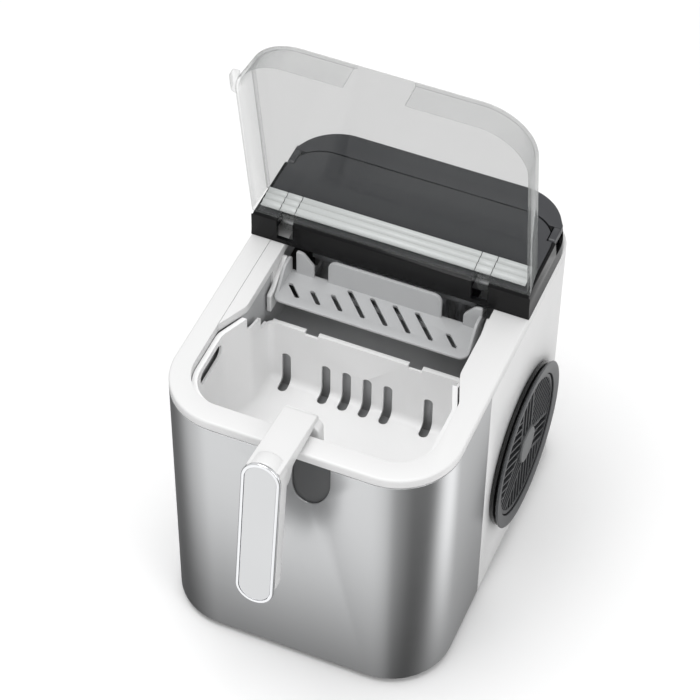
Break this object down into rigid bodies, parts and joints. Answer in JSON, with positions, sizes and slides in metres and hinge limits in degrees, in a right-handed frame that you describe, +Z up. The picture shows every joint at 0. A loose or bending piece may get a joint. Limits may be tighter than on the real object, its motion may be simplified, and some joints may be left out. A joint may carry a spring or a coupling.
{
  "type": "ice maker",
  "caption": "Countertop bullet ice maker with a steel-wrapped body, hinged clear lid, lift-out ice basket with front handle, round side fan grille and folding carry handle.",
  "frame": {"origin": "on the surface it stands on, under the middle of the bounding box with the lid open", "axes": "+Z up, the front with the basket handle faces -Y, the side grille faces +X"},
  "size_m": [0.2358, 0.3537, 0.4498],
  "materials": {
    "black_plastic": "fine grain",
    "rubber": "matt",
    "steel": "vertical brush",
    "white_plastic": "smooth satin gloss",
    "gloss_black": "high gloss",
    "circuit_board": "satin",
    "bright_metal": "smooth",
    "painted_black": "satin",
    "condenser_metal": "rolled",
    "grey_plastic": "smooth",
    "clear_plastic": "clear moulded plastic",
    "chrome_trim": "polished",
    "satin_metal": "satin brushed"
  },
  "bodies": {
    "housing": {"base_plate": "black_plastic", "foot_front_left": "rubber", "foot_front_right": "rubber", "foot_rear_left": "rubber", "foot_rear_right": "rubber", "steel_wrap": "steel", "rear_housing": "white_plastic", "top_deck": "white_plastic", "water_tank": "white_plastic", "notch_backing": "black_plastic", "top_housing": "gloss_black", "control_plate": "gloss_black", "control_board": "circuit_board", "hinge_pin_left": "bright_metal", "hinge_pin_right": "bright_metal", "evaporator": "bright_metal", "left_guide": "white_plastic", "right_guide": "white_plastic", "tray_motor": "black_plastic", "water_pump": "black_plastic", "compressor": "painted_black", "condenser": "condenser_metal", "fan_motor": "black_plastic", "fan_shroud": "black_plastic", "grille_ring": "gloss_black", "grille_mesh": "gloss_black", "grille_hub": "grey_plastic", "main_board": "circuit_board", "power_inlet": "black_plastic"},
    "lid": {"lid": "clear_plastic"},
    "basket": {"ice_basket": "white_plastic", "basket_handle": "white_plastic", "handle_ring": "chrome_trim", "handle_plate": "satin_metal"},
    "pusher": {"ice_pusher": "grey_plastic"},
    "tray": {"water_tray": "grey_plastic"},
    "carry_handle": {"carry_handle": "gloss_black"},
    "fan": {"fan": "black_plastic"},
    "drain_cap": {"drain_cap": "grey_plastic"}
  },
  "joints": [
    {"name": "lid_hinge", "type": "hinge", "parent": "housing", "child": "lid", "pos_m": [-0.0024, 0.07755, 0.2551], "axis": [1, 0, 0], "range_deg": [-16, 81]},
    {"name": "basket_lift", "type": "slide", "parent": "housing", "child": "basket", "axis": [0, 0, 1], "range_m": [0, 0.15]},
    {"name": "pusher_slide", "type": "slide", "parent": "housing", "child": "pusher", "axis": [0, -1, 0], "range_m": [0, 0.024]},
    {"name": "tray_tilt", "type": "hinge", "parent": "housing", "child": "tray", "pos_m": [-0.0024, 0.08235, 0.2045], "axis": [1, 0, 0], "range_deg": [0, 60]},
    {"name": "carry_handle_fold", "type": "hinge", "parent": "housing", "child": "carry_handle", "pos_m": [-0.0024, 0.12735, 0.2653], "axis": [1, 0, 0], "range_deg": [0, 90]},
    {"name": "fan_spin", "type": "hinge", "parent": "housing", "child": "fan", "pos_m": [0.0966, 0.06825, 0.1008], "axis": [1, 0, 0], "continuous": true},
    {"name": "drain_cap_pull", "type": "slide", "parent": "housing", "child": "drain_cap", "axis": [0, 1, 0], "range_m": [0, 0.03]}
  ],
  "couplings": [
    {"joint": "tray_tilt", "follows": "pusher_slide", "rad_per_m": 43.6}
  ]
}
